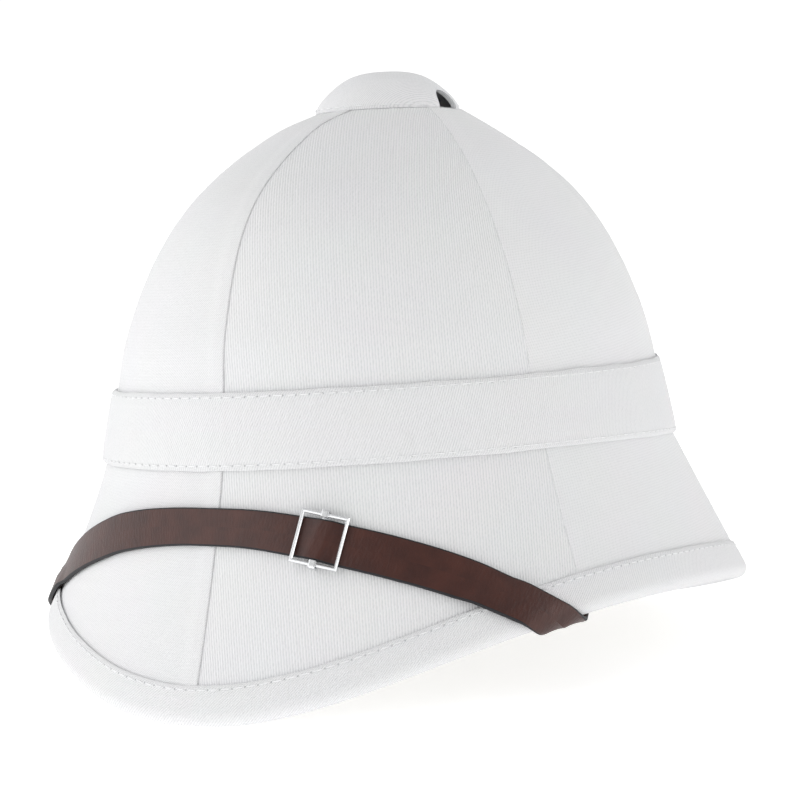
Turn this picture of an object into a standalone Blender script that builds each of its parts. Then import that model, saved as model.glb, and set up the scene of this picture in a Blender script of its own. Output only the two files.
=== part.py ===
"""A white pith helmet resting on its rim: a moulded shell under six twill gores, with a flat band,
a bound rim, a domed ventilator and a leather chin strap worn over the front of the brim.

The front of the hat faces -Y and the wearer's left is +X. The hat is modelled with the band's
lower edge level at z = 0, and an empty leans it back to where it rests on its front and back
rim. Angles round the hat run from the front, 0, towards the wearer's left, 90 degrees.
"""

from math import atan2, cos, pi, radians, sin

import bmesh
import bpy
import numpy as np
from mathutils import Matrix, Vector

MM = 0.001
NAME = "pith_helmet"

# Clearances
GAP = 0.3 * MM
STRAP_GAP = 0.5 * MM
INNER_GAP = 0.9 * MM
SEAM_GAP = 0.3 * MM

# Walls
SHELL_THICKNESS = 4.0 * MM
COVER_THICKNESS = 1.0 * MM
BAND_THICKNESS = 1.5 * MM
BINDING_THICKNESS = 1.0 * MM

# Crown, measured on the outside of the cover
CROWN_HEIGHT = 94 * MM
CAP_SEAT_RADIUS = 26.5 * MM
SEAT_RISE = 2.5 * MM
SEAT_BACK = 6 * MM
VENT_HOLE_RADIUS = 10.3 * MM
COVER_HOLE_RADIUS = 14.5 * MM
BAND_TOP_LENGTH = 222 * MM
BAND_TOP_WIDTH = 184 * MM

# Band
BAND_WIDTH = 27.4 * MM
BAND_TOP_DIP = 3.0 * MM
BAND_BOTTOM_BOW = 1.5 * MM
BAND_BOTTOM_LENGTH = 228 * MM
BAND_BOTTOM_WIDTH = 196 * MM

# Brim, to the outermost edge of its binding
FRONT_REACH = 139 * MM
SIDE_REACH = 117.5 * MM
BACK_REACH = 150 * MM
FRONT_DROP = 83.6 * MM
SIDE_DROP = 49.4 * MM
BACK_DROP = 66 * MM
FRONT_SWEEP = 2.85
BACK_SWEEP = 2.5
RIM_FULLNESS = 0.048
FLARE = 1.07
FRONT_FLARE = 0.12

# Binding
BINDING_OUTER_LEG = 9.4 * MM
BINDING_INNER_LEG = 8.0 * MM
BINDING_FLAT = 1.0 * MM
FOLD_STEPS = 6
FLOOR_CUT_DEPTH = 10 * MM

# Ventilator
CAP_RADIUS = 26.1 * MM
CAP_HEIGHT = 14.2 * MM
CAP_WALL = 2.2 * MM
CAP_STEPS = 24
CAP_DOOR_WIDTH = 12.0 * MM
CAP_DOOR_HEIGHT = 6.3 * MM
COLLAR_WALL = 2.2 * MM
COLLAR_FLANGE_RADIUS = 14.0 * MM
COLLAR_FLANGE_THICKNESS = 1.5 * MM
COLLAR_HEIGHT = 7.0 * MM
POST_RADIUS = 1.8 * MM
BRIDGE_WIDTH = 3.0 * MM
BRIDGE_THICKNESS = 2.0 * MM

# Chin strap
STRAP_WIDTH = 13.0 * MM
STRAP_THICKNESS = 1.5 * MM
STRAP_RAMP = 6.0 * MM
STRAP_STEP = 9.0 * MM
STRAP_FOLD_STEP = 2.3 * MM
STRAP_FOLD_EASE = 5.0 * MM
STRAP_BUCKLE_STEP = 1.3 * MM
STRAP_ACROSS = 6
STUD_SETBACK = 6.0 * MM
STUD_HEAD_RADIUS = 4.5 * MM
STUD_HEAD_THICKNESS = 1.2 * MM
STUD_SHANK_RADIUS = 1.6 * MM
STUD_STEPS = 12

# Buckle
BUCKLE_ANGLE = 20.6
BUCKLE_LENGTH = 16.6 * MM
BUCKLE_HEIGHT = 18.4 * MM
BUCKLE_RAIL = 1.8 * MM
BUCKLE_THICKNESS = 1.6 * MM
BUCKLE_BEVEL = 0.6 * MM
BUCKLE_BAR_WIDTH = 2.4 * MM
BUCKLE_BAR_THICKNESS = 0.7 * MM
BUCKLE_BAR_REST = 0.3 * MM

# Each section of the crown from the band's top, 0, to the cap's seat, 1. The reaches are shares of
# the way from the round seat out to the band's top.
CROWN_SECTIONS = (
    # height, front, side, back
    (0.00, 1.000, 1.000, 1.000),
    (0.15, 0.985, 0.944, 1.000),
    (0.29, 0.942, 0.869, 0.980),
    (0.43, 0.885, 0.770, 0.947),
    (0.56, 0.807, 0.652, 0.881),
    (0.68, 0.695, 0.524, 0.761),
    (0.785, 0.543, 0.397, 0.568),
    (0.872, 0.383, 0.258, 0.342),
    (0.945, 0.216, 0.120, 0.140),
    (1.00, 0.000, 0.000, 0.000),
)

# The gores lie between these seams, and each is laid out in equal steps.
SEAM_ANGLES = (0, 64, 122, 180, 238, 296, 360)
GORE_STEPS = 7
BRIM_STEPS = 4

# The middle of the strap. The share is its height above the rim, of the brim's own height there.
OUTSIDE, INSIDE = -1, 1
STRAP_ROUTE = (
    # angle, side of the brim, share
    (-88, INSIDE, 0.84),
    (-82.5, INSIDE, 0.56),
    (-76.5, INSIDE, 0.28),
    (-70.5, INSIDE, 0.00),
    (-65, OUTSIDE, 0.00),
    (-59.5, OUTSIDE, 0.13),
    (-52, OUTSIDE, 0.30),
    (-43.5, OUTSIDE, 0.45),
    (-34, OUTSIDE, 0.575),
    (-25, OUTSIDE, 0.66),
    (-15, OUTSIDE, 0.71),
    (-5, OUTSIDE, 0.728),
    (6, OUTSIDE, 0.718),
    (16, OUTSIDE, 0.671),
    (26, OUTSIDE, 0.585),
    (36, OUTSIDE, 0.46),
    (45, OUTSIDE, 0.30),
    (51.6, OUTSIDE, 0.133),
    (56, OUTSIDE, 0.00),
    (64, INSIDE, 0.00),
    (71, INSIDE, 0.28),
    (78, INSIDE, 0.56),
    (84, INSIDE, 0.84),
)

# The cap's outline from its top to its foot, as shares of its radius and height.
CAP_OUTLINE = (
    # radius, height
    (0.00, 1.000),
    (0.27, 0.975),
    (0.47, 0.890),
    (0.63, 0.745),
    (0.76, 0.565),
    (0.885, 0.350),
    (0.975, 0.130),
    (1.00, 0.000),
)

WALL = COVER_THICKNESS + GAP + SHELL_THICKNESS
FOLD_CLEAR = WALL / 2 + GAP
FOLD_RADIUS = FOLD_CLEAR + BINDING_THICKNESS
STRAP_BED = FOLD_RADIUS + STRAP_GAP
HOLE_LEAN = WALL * SEAT_RISE / (CAP_SEAT_RADIUS - VENT_HOLE_RADIUS)
COLLAR_RADIUS = VENT_HOLE_RADIUS - HOLE_LEAN - GAP
SEAT_HEIGHT = BAND_WIDTH + CROWN_HEIGHT


def mix(low, high, share):
    """The value that lies this share of the way from low to high."""
    return low + (high - low) * share


def smooth(rows, place, column):
    """One column of a table at any place between its rows, on a smooth curve through them."""
    values = [row[column] for row in rows]
    slopes = np.gradient(values)
    first = max(0, min(int(place), len(rows) - 2))
    t = place - first
    start = values[first] * (1 + 2 * t) * (1 - t) ** 2 + slopes[first] * t * (1 - t) ** 2
    end = values[first + 1] * t * t * (3 - 2 * t) - slopes[first + 1] * t * t * (1 - t)
    return float(start + end)


def crown_point(angle, level):
    """Level 0 is the cap's seat, level 1 the top of the band."""
    place = (1 - level) * (len(CROWN_SECTIONS) - 1)
    height, front, side, back = (smooth(CROWN_SECTIONS, place, i) for i in range(4))
    share = mix(side, front if cos(angle) > 0 else back, cos(angle) ** 2)
    x = mix(CAP_SEAT_RADIUS, BAND_TOP_WIDTH / 2, share) * sin(angle)
    y = SEAT_BACK * height**4 - mix(CAP_SEAT_RADIUS, BAND_TOP_LENGTH / 2, share) * cos(angle)
    dip = BAND_TOP_DIP * cos(angle) * (1 - height)
    return Vector((x, y, BAND_WIDTH + CROWN_HEIGHT * height - dip))


def seat_height(radius):
    """The height of the shallow rise under the cap, from the cap's seat in to the vent hole."""
    return SEAT_HEIGHT + SEAT_RISE * (CAP_SEAT_RADIUS - radius) / (CAP_SEAT_RADIUS - VENT_HOLE_RADIUS)


def seat_point(angle, level):
    """Level 0 is the cap's seat and level -1 the vent hole."""
    radius = mix(CAP_SEAT_RADIUS, VENT_HOLE_RADIUS, -level)
    return Vector((radius * sin(angle), SEAT_BACK - radius * cos(angle), seat_height(radius)))


def cap_base():
    """The height of the cap's foot, which clears the rise at the inside of its wall."""
    return seat_height(CAP_RADIUS - CAP_WALL) + GAP


def band_point(angle, level):
    """Level 1 is the top of the band and level 2 its lower edge."""
    top = crown_point(angle, 1)
    bottom = brim_point(angle, 2)
    return top.lerp(bottom, level - 1)


def brim_point(angle, level):
    """Level 2 is the lower edge of the band and level 3 the outermost edge of the rim."""
    share = level - 2
    ahead = cos(angle) > 0
    reach, drop, sweep = (
        (FRONT_REACH, FRONT_DROP, FRONT_SWEEP) if ahead else (BACK_REACH, BACK_DROP, BACK_SWEEP)
    )
    fullness = 1 + RIM_FULLNESS * sin(angle) ** 4 * sin(2 * angle) ** 2
    start = Vector((
        BAND_BOTTOM_WIDTH / 2 * sin(angle),
        -BAND_BOTTOM_LENGTH / 2 * cos(angle),
        -BAND_BOTTOM_BOW * cos(2 * angle),
    ))
    end = Vector((
        SIDE_REACH * fullness * sin(angle),
        -reach * fullness * cos(angle),
        -mix(SIDE_DROP, drop, abs(cos(angle)) ** sweep),
    ))
    out = max(share, 0) ** (FLARE + FRONT_FLARE * cos(angle))
    return Vector((mix(start.x, end.x, out), mix(start.y, end.y, out), mix(start.z, end.z, share)))


def skin_point(angle, level):
    """A point on the outside of the cover, from the vent hole, -1, to the rim, 3."""
    if level < 0:
        return seat_point(angle, level)
    if level < 1:
        return crown_point(angle, level)
    if level < 2:
        return band_point(angle, level)
    return brim_point(angle, level)


def skin_normal(angle, level):
    """The outward direction of the cover there."""
    step = 0.01
    low, high = (level - step, level) if level > 2 + step else (level, level + step)
    down = skin_point(angle, high) - skin_point(angle, low)
    across = skin_point(angle + step, level) - skin_point(angle - step, level)
    return down.cross(across).normalized()


def wall_point(angle, level, depth):
    """A point this far inside the cover's outer face."""
    return skin_point(angle, level) - skin_normal(angle, level) * depth


def brim_length(angle):
    return (brim_point(angle, 3) - brim_point(angle, 2)).length


def level_above_rim(angle, distance):
    """The level this far up the brim from where its wall ends inside the fold of the binding."""
    return 3 - (FOLD_RADIUS + distance) / brim_length(angle)


def fold_point(angle, along, out):
    """A point of the rim's cross-section: along runs down past the wall's end, out away from it."""
    level = level_above_rim(angle, 0)
    down = (brim_point(angle, level) - brim_point(angle, level - 0.01)).normalized()
    normal = skin_normal(angle, level)
    centre = brim_point(angle, level) - normal * WALL / 2
    return centre + down * along + normal * out


def new_object(name, mesh, collection):
    thing = bpy.data.objects.new(name, mesh)
    collection.objects.link(thing)
    thing.parent = rest
    return thing


def mesh_from(name, shape):
    """A mesh made of this bmesh, its faces turned outwards and shaded smooth."""
    bmesh.ops.recalc_face_normals(shape, faces=shape.faces)
    mesh = bpy.data.meshes.new(name)
    shape.to_mesh(mesh)
    shape.free()
    mesh.shade_smooth()
    mesh.set_sharp_from_angle(angle=radians(35))
    return mesh


def lofted(name, sections, closed_section=False, ring=False):
    """A loft through rows of points. A closed section that makes no ring gets a cap at each end."""
    shape = bmesh.new()
    rows = [[shape.verts.new(point) for point in section] for section in sections]
    pairs = list(zip(rows, rows[1:]))
    if ring:
        pairs.append((rows[-1], rows[0]))
    for above, below in pairs:
        for i in range(len(above) if closed_section else len(above) - 1):
            j = (i + 1) % len(above)
            shape.faces.new((above[i], above[j], below[j], below[i]))
    if closed_section and not ring:
        shape.faces.new(rows[0])
        shape.faces.new(rows[-1])
    return mesh_from(name, shape)


def outward(mesh):
    """Turns an open sheet's faces away from the middle of the hat."""
    face = mesh.polygons[len(mesh.polygons) // 2]
    away = Vector(face.center) - Vector((0, 0, BAND_WIDTH))
    if face.normal.dot(away) < 0:
        mesh.flip_normals()
    return mesh


def turned(name, profile, steps, collection, material):
    """A solid of revolution: the profile runs down its outer side, from top to bottom."""
    mesh = bpy.data.meshes.new(name)
    mesh.from_pydata([(x, 0, z) for x, z in profile], [(i, i + 1) for i in range(len(profile) - 1)], [])
    thing = new_object(name, mesh, collection)
    screw = thing.modifiers.new("turned", "SCREW")
    screw.steps = screw.render_steps = steps
    screw.use_merge_vertices = True
    screw.merge_threshold = 0.05 * MM
    screw.use_smooth_shade = True
    if material:
        mesh.materials.append(material)
    return thing


def box(name, size, centre, collection, material=None):
    bpy.ops.mesh.primitive_cube_add(size=1)
    thing = bpy.context.object
    thing.data.transform(Matrix.Translation(centre) @ Matrix.Diagonal((*size, 1)))
    thing.name = thing.data.name = name
    for holder in thing.users_collection:
        holder.objects.unlink(thing)
    collection.objects.link(thing)
    thing.parent = rest
    if material:
        thing.data.materials.append(material)
    return thing


def solidify(thing, thickness):
    """Gives a sheet its wall, inwards from the face it was drawn on."""
    wall = thing.modifiers.new("wall", "SOLIDIFY")
    wall.thickness = thickness
    wall.offset = -1
    wall.use_even_offset = True


def boolean(thing, other, operation):
    cut = thing.modifiers.new(operation.lower(), "BOOLEAN")
    cut.operation = operation
    cut.object = other
    cut.solver = "EXACT"


def helper(thing):
    """Marks an object that only cuts or joins another."""
    thing.hide_render = True
    thing.display_type = "WIRE"
    return thing


def material(name, colour, roughness, metallic=0.0):
    made = bpy.data.materials.new(name)
    made.use_nodes = True
    shader = made.node_tree.nodes["Principled BSDF"]
    shader.inputs["Base Color"].default_value = (*colour, 1)
    shader.inputs["Roughness"].default_value = roughness
    shader.inputs["Metallic"].default_value = metallic
    return made


def gore_angles(number):
    """The steps round one gore, in radians, from one seam to the next."""
    start, end = SEAM_ANGLES[number], SEAM_ANGLES[number + 1]
    return [radians(mix(start, end, i / GORE_STEPS)) for i in range(GORE_STEPS + 1)]


def all_angles():
    return [angle for number in range(len(SEAM_ANGLES) - 1) for angle in gore_angles(number)[:-1]]


def wall_levels(angle):
    """The rows of the crown, the band and the brim, down to where the wall ends."""
    crown = [i / (len(CROWN_SECTIONS) - 1) for i in range(len(CROWN_SECTIONS))]
    brim = [mix(2, level_above_rim(angle, 0), i / BRIM_STEPS) for i in range(BRIM_STEPS + 1)]
    return crown + brim


def add_shell():
    depth = COVER_THICKNESS + GAP
    rows = [
        [wall_point(angle, level, depth) for level in [-1] + wall_levels(angle)]
        for angle in all_angles()
    ]
    mesh = outward(lofted("pith_shell", rows, ring=True))
    mesh.materials.append(material("moulded_pith", (0.62, 0.55, 0.44), 0.85))
    shell = new_object("pith_shell", mesh, parts)
    solidify(shell, SHELL_THICKNESS)
    return shell


def add_gore(number, twill):
    hole = (COVER_HOLE_RADIUS - CAP_SEAT_RADIUS) / (CAP_SEAT_RADIUS - VENT_HOLE_RADIUS)
    angles = gore_angles(number)
    rows = []
    for i, angle in enumerate(angles):
        edge = 1 if i == 0 else -1 if i == GORE_STEPS else 0
        row = []
        for level in [hole] + wall_levels(angle):
            point = wall_point(angle, level, 0)
            aside = (wall_point(angle + 0.01, level, 0) - point).normalized()
            row.append(point + aside * edge * SEAM_GAP / 2)
        rows.append(row)
    name = f"cover_gore_{number + 1}"
    mesh = outward(lofted(name, rows))
    mesh.materials.append(twill)
    solidify(new_object(name, mesh, parts), COVER_THICKNESS)


def add_band(twill):
    depth = -GAP - BAND_THICKNESS
    rows = [[wall_point(angle, level, depth) for level in (1, 2)] for angle in all_angles()]
    mesh = outward(lofted("pugaree_band", rows, ring=True))
    mesh.materials.append(twill)
    solidify(new_object("pugaree_band", mesh, parts), BAND_THICKNESS)


def binding_section():
    """The fold's cross-section: down the outer leg, round the edge and back up inside."""
    turns = [pi * i / FOLD_STEPS for i in range(FOLD_STEPS + 1)]
    outer = [(FOLD_RADIUS * sin(turn), FOLD_RADIUS * cos(turn)) for turn in turns]
    inner = [(FOLD_CLEAR * sin(turn), FOLD_CLEAR * cos(turn)) for turn in reversed(turns)]
    inside = [(-BINDING_INNER_LEG, -FOLD_RADIUS), (-BINDING_INNER_LEG, -FOLD_CLEAR)]
    outside = [(-BINDING_OUTER_LEG, FOLD_CLEAR), (-BINDING_OUTER_LEG, FOLD_RADIUS)]
    return outer + inside + inner + outside


def add_binding(twill):
    section = binding_section()
    rows = [[fold_point(angle, *point) for point in section] for angle in all_angles()]
    mesh = lofted("brim_binding", rows, closed_section=True, ring=True)
    mesh.materials.append(twill)
    return new_object("brim_binding", mesh, parts)


def settle(binding):
    """Sets the hat on its front and back rim, presses the binding flat there and centres it."""
    pitch = atan2(BACK_DROP - FRONT_DROP, FRONT_REACH + BACK_REACH)
    rest.rotation_euler = (pitch, 0, 0)
    turn = Matrix.Rotation(pitch, 3, "X")
    points = [turn @ vertex.co for vertex in binding.data.vertices]
    lowest = min(point.z for point in points)
    middle = (min(point.y for point in points) + max(point.y for point in points)) / 2
    rest.location = (0, -middle, -lowest - BINDING_FLAT)
    size = (4 * SIDE_REACH, 4 * BACK_REACH, FLOOR_CUT_DEPTH)
    floor = helper(box("floor_cutter", size, (0, 0, -FLOOR_CUT_DEPTH / 2), cutters))
    floor.parent = None
    boolean(binding, floor, "DIFFERENCE")


def add_vent_cap(twill):
    def outline(radius, height):
        return [(radius * r, height * h) for r, h in CAP_OUTLINE]

    outer = outline(CAP_RADIUS, CAP_HEIGHT)
    inner = outline(CAP_RADIUS - CAP_WALL, CAP_HEIGHT - CAP_WALL)
    cap = turned("vent_cap", outer + inner[::-1], CAP_STEPS, parts, twill)
    cap.location = (0, SEAT_BACK, cap_base())
    door = []
    for i in range(9):
        turn = pi * i / 8
        door.append((CAP_DOOR_WIDTH / 2 * cos(turn), CAP_DOOR_HEIGHT * sin(turn)))
    door = [(CAP_DOOR_WIDTH / 2, -CAP_DOOR_HEIGHT)] + door + [(-CAP_DOOR_WIDTH / 2, -CAP_DOOR_HEIGHT)]
    half = 1.2 * CAP_RADIUS
    ends = [[Vector((x, y, z)) for y, z in door] for x in (-half, half)]
    cutter = helper(new_object("cap_door_cutter", lofted("cap_door_cutter", ends, True), cutters))
    cutter.location = cap.location
    boolean(cap, cutter, "DIFFERENCE")


def add_vent_post():
    """The collar in the vent hole, with a bridge across its foot and the post that holds the cap."""
    rim = SEAT_HEIGHT + COLLAR_HEIGHT
    flange_top = seat_height(COLLAR_FLANGE_RADIUS) - WALL - GAP
    foot = flange_top - COLLAR_FLANGE_THICKNESS
    bore = COLLAR_RADIUS - COLLAR_WALL
    profile = [
        (bore, rim),
        (COLLAR_RADIUS, rim),
        (COLLAR_RADIUS, flange_top),
        (COLLAR_FLANGE_RADIUS, flange_top),
        (COLLAR_FLANGE_RADIUS, foot),
        (bore, foot),
        (bore, rim),
    ]
    collar = turned("vent_post", profile, 24, parts, material("grey_brown_fibre", (0.16, 0.13, 0.09), 0.7))
    collar.location.y = SEAT_BACK
    bridge_size = (BRIDGE_WIDTH, 2 * bore + COLLAR_WALL, BRIDGE_THICKNESS)
    bridge = helper(box("post_bridge", bridge_size, (0, SEAT_BACK, foot + BRIDGE_THICKNESS / 2), cutters))
    boolean(collar, bridge, "UNION")
    top = cap_base() + CAP_HEIGHT - CAP_WALL - GAP
    post = [(0, top), (POST_RADIUS, top), (POST_RADIUS, foot + BRIDGE_THICKNESS / 2)]
    post.append((0, foot + BRIDGE_THICKNESS / 2))
    stem = helper(turned("post_stem", post, 12, cutters, None))
    stem.location.y = SEAT_BACK
    boolean(collar, stem, "UNION")


def strap_point(angle, along, lift):
    """A point over the brim's wall. Along is 0 at the rim outside, and grows round it and up inside."""
    arc = pi * (STRAP_BED + STRAP_THICKNESS / 2)
    if 0 <= along <= arc:
        turn = pi * along / arc
        reach = FOLD_RADIUS + mix(STRAP_GAP, INNER_GAP, along / arc) + lift
        return fold_point(angle, reach * sin(turn), reach * cos(turn))
    outside = along < 0
    distance = -along if outside else along - arc
    leg = BINDING_OUTER_LEG if outside else BINDING_INNER_LEG
    past = (distance - leg - BINDING_THICKNESS) / STRAP_RAMP
    over_binding = 1 - min(max(past, 0), 1)
    over_binding = over_binding**2 * (3 - 2 * over_binding)
    clear = (STRAP_GAP if outside else INNER_GAP) + (BINDING_THICKNESS + GAP) * over_binding + lift
    level = level_above_rim(angle, distance)
    if outside:
        return wall_point(angle, level, -clear)
    return wall_point(angle, level, WALL + clear)


def strap_place(place):
    """(angle, along) of the strap's middle at a place in its route's table."""
    arc = pi * (STRAP_BED + STRAP_THICKNESS / 2)
    rows = []
    for angle, side, share in STRAP_ROUTE:
        height = share * brim_length(radians(angle))
        rows.append((radians(angle), -height if side == OUTSIDE else arc + height))
    return smooth(rows, place, 0), smooth(rows, place, 1)


class StrapPath:
    """The strap's middle line, measured along its own length."""

    def __init__(self):
        self.places = np.linspace(0, len(STRAP_ROUTE) - 1, 600)
        spots = [strap_place(place) for place in self.places]
        points = [strap_point(angle, along, STRAP_THICKNESS / 2) for angle, along in spots]
        steps = [(b - a).length for a, b in zip(points, points[1:])]
        self.lengths = np.concatenate([[0], np.cumsum(steps)])
        self.angles = np.array([angle for angle, _ in spots])
        self.total = float(self.lengths[-1])
        self.buckle = float(np.interp(radians(BUCKLE_ANGLE), self.angles, self.lengths))
        folds = [i for i, row in enumerate(STRAP_ROUTE) if row[2] == 0]
        self.folds = [float(np.interp(i, self.places, self.lengths)) for i in folds]

    def spot(self, length):
        return strap_place(float(np.interp(length, self.lengths, self.places)))

    def across(self, length, share, lift):
        """A point at this share of the half width, to the strap's upper side."""
        angle, along = self.spot(length)
        step = 0.5 * MM
        before, after = self.spot(length - step), self.spot(length + step)
        middle = strap_point(angle, along, lift)
        round_hat = (strap_point(angle + 0.01, along, lift) - middle).length / 0.01
        run = Vector(((after[0] - before[0]) * round_hat, after[1] - before[1])).normalized()
        half = share * STRAP_WIDTH / 2
        return strap_point(angle + run.y * half / round_hat, along - run.x * half, lift)

    def weave(self, length):
        """How far the strap rises over the buckle's bar, on both sides of which it slopes down."""
        flat = BUCKLE_BAR_WIDTH / 2 + GAP
        foot = BUCKLE_LENGTH / 2 - BUCKLE_RAIL
        off = (abs(length - self.buckle) - flat) / (foot - flat)
        return (bar_top() + GAP) * cos(pi / 2 * min(max(off, 0), 1)) ** 2

    def stations(self):
        """Even steps, with finer ones at the buckle and where the strap folds round the rim."""
        marks = list(np.linspace(0, self.total, round(self.total / STRAP_STEP) + 1))
        first, second, third, fourth = self.folds
        half = BUCKLE_LENGTH / 2
        ease = STRAP_FOLD_EASE
        spans = [
            (first - ease, second + ease, STRAP_FOLD_STEP),
            (third - ease, fourth + ease, STRAP_FOLD_STEP),
        ]
        spans.append((self.buckle - half, self.buckle + half, STRAP_BUCKLE_STEP))
        for start, end, step in spans:
            marks = [mark for mark in marks if not start - step < mark < end + step]
            marks += list(np.linspace(start, end, round((end - start) / step) + 1))
        return sorted(marks)


def bar_top():
    """The height of the buckle bar's top above the underside of the flat strap."""
    return BUCKLE_BAR_REST + BUCKLE_BAR_THICKNESS


def add_strap(path, leather):
    shares = [2 * i / STRAP_ACROSS - 1 for i in range(STRAP_ACROSS + 1)]
    sections = []
    for length in path.stations():
        low = path.weave(length)
        under = [path.across(length, share, low) for share in shares]
        over = [path.across(length, share, low + STRAP_THICKNESS) for share in reversed(shares)]
        sections.append(under + over)
    mesh = lofted("chin_strap", sections, closed_section=True)
    mesh.materials.append(leather)
    return new_object("chin_strap", mesh, parts)


def frame_on_strap(path, length):
    """The strap's own axes there: x along it, y to its upper edge, z away from the hat."""
    middle = path.across(length, 0, 0)
    along = path.across(length + 2 * MM, 0, 0) - path.across(length - 2 * MM, 0, 0)
    upward = path.across(length, 0.5, 0) - path.across(length, -0.5, 0)
    x = along.normalized()
    z = x.cross(upward).normalized()
    y = z.cross(x)
    turn = Matrix((x, y, z)).transposed().to_4x4()
    return Matrix.Translation(middle) @ turn


def place(thing, matrix):
    thing.location, rotation, _ = matrix.decompose()
    thing.rotation_euler = rotation.to_euler()


def add_studs(path, strap, shell):
    steel = material("plain_steel", (0.5, 0.5, 0.5), 0.4, 1.0)
    for side, length in (("right", STUD_SETBACK), ("left", path.total - STUD_SETBACK)):
        seat = frame_on_strap(path, length)
        top = STRAP_THICKNESS + GAP + STUD_HEAD_THICKNESS
        shoulder = STRAP_THICKNESS + GAP
        end = -INNER_GAP - SHELL_THICKNESS
        shank = STUD_SHANK_RADIUS
        outline = [(0, top), (0.7 * STUD_HEAD_RADIUS, top), (STUD_HEAD_RADIUS, mix(shoulder, top, 0.5))]
        outline += [(STUD_HEAD_RADIUS, shoulder), (shank, shoulder), (shank, end), (0, end)]
        place(turned(f"strap_stud_{side}", outline, STUD_STEPS, parts, steel), seat)
        hole = shank + GAP
        reach = 3 * SHELL_THICKNESS
        drill = [(0, reach), (hole, reach), (hole, -reach), (0, -reach)]
        cutter = helper(turned(f"stud_hole_{side}", drill, STUD_STEPS, cutters, None))
        place(cutter, seat)
        boolean(strap, cutter, "DIFFERENCE")
        boolean(shell, cutter, "DIFFERENCE")


def add_buckle(path):
    plated = material("bright_plated_steel", (0.72, 0.72, 0.73), 0.18, 1.0)
    seat = frame_on_strap(path, path.buckle)
    bottom = STRAP_THICKNESS + GAP
    centre = (0, 0, bottom + BUCKLE_THICKNESS / 2)
    size = (BUCKLE_LENGTH, BUCKLE_HEIGHT, BUCKLE_THICKNESS)
    frame = box("buckle_frame", size, centre, parts, plated)
    place(frame, seat)
    window = (BUCKLE_LENGTH - 2 * BUCKLE_RAIL, BUCKLE_HEIGHT - 2 * BUCKLE_RAIL, 4 * BUCKLE_THICKNESS)
    cutter = helper(box("buckle_window", window, centre, cutters))
    place(cutter, seat)
    boolean(frame, cutter, "DIFFERENCE")
    bevel = frame.modifiers.new("bevel", "BEVEL")
    bevel.width = BUCKLE_BEVEL
    bevel.segments = 1
    bevel.limit_method = "ANGLE"
    bevel.angle_limit = radians(60)

    # The bar's middle line, under the strap and round both rails.
    half = BUCKLE_BAR_THICKNESS / 2
    low = bar_top() - half
    high = bottom + BUCKLE_THICKNESS + GAP + half
    outer = BUCKLE_HEIGHT / 2 + GAP + half
    tip = BUCKLE_HEIGHT / 2 - BUCKLE_RAIL
    line = [(-tip, high), (-outer, high), (-outer, low), (outer, low), (outer, high), (tip, high)]
    width = BUCKLE_BAR_WIDTH / 2
    rows = [[Vector((x, y, z)) for x in (-width, width)] for y, z in line]
    mesh = lofted("buckle_bar", rows)
    mesh.materials.append(plated)
    bar = new_object("buckle_bar", mesh, parts)
    wall = bar.modifiers.new("wall", "SOLIDIFY")
    wall.thickness = BUCKLE_BAR_THICKNESS
    wall.offset = 0
    wall.use_even_offset = True
    place(bar, seat)


for old in list(bpy.data.objects):
    bpy.data.objects.remove(old, do_unlink=True)
parts = bpy.data.collections.new(NAME)
cutters = bpy.data.collections.new("cutters")
for group in (parts, cutters):
    bpy.context.scene.collection.children.link(group)
rest = bpy.data.objects.new("rest", None)
parts.objects.link(rest)

white_twill = material("white_cotton_twill", (0.86, 0.87, 0.88), 0.8)
brown_leather = material("brown_strap_leather", (0.08, 0.03, 0.022), 0.45)

pith_shell = add_shell()
for gore in range(len(SEAM_ANGLES) - 1):
    add_gore(gore, white_twill)
add_band(white_twill)
settle(add_binding(white_twill))
add_vent_cap(white_twill)
add_vent_post()
strap_path = StrapPath()
chin_strap = add_strap(strap_path, brown_leather)
add_studs(strap_path, chin_strap, pith_shell)
add_buckle(strap_path)
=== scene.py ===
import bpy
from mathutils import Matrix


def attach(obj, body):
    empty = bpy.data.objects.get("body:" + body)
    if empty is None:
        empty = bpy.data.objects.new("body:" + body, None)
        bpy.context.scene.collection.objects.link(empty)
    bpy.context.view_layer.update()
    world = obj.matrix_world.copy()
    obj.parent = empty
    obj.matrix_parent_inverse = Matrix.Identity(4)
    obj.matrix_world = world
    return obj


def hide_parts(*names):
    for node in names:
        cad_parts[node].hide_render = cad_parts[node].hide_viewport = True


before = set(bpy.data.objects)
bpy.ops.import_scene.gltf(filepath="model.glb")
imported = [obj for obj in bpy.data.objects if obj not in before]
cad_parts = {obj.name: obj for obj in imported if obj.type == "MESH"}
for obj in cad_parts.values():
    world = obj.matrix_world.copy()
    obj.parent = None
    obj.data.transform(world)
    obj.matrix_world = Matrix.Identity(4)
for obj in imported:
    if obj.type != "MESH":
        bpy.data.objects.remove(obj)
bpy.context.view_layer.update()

from math import pi, radians

import bmesh
import bpy
import numpy as np
from mathutils import Matrix, Quaternion, Vector, noise

MM = 0.001

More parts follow.
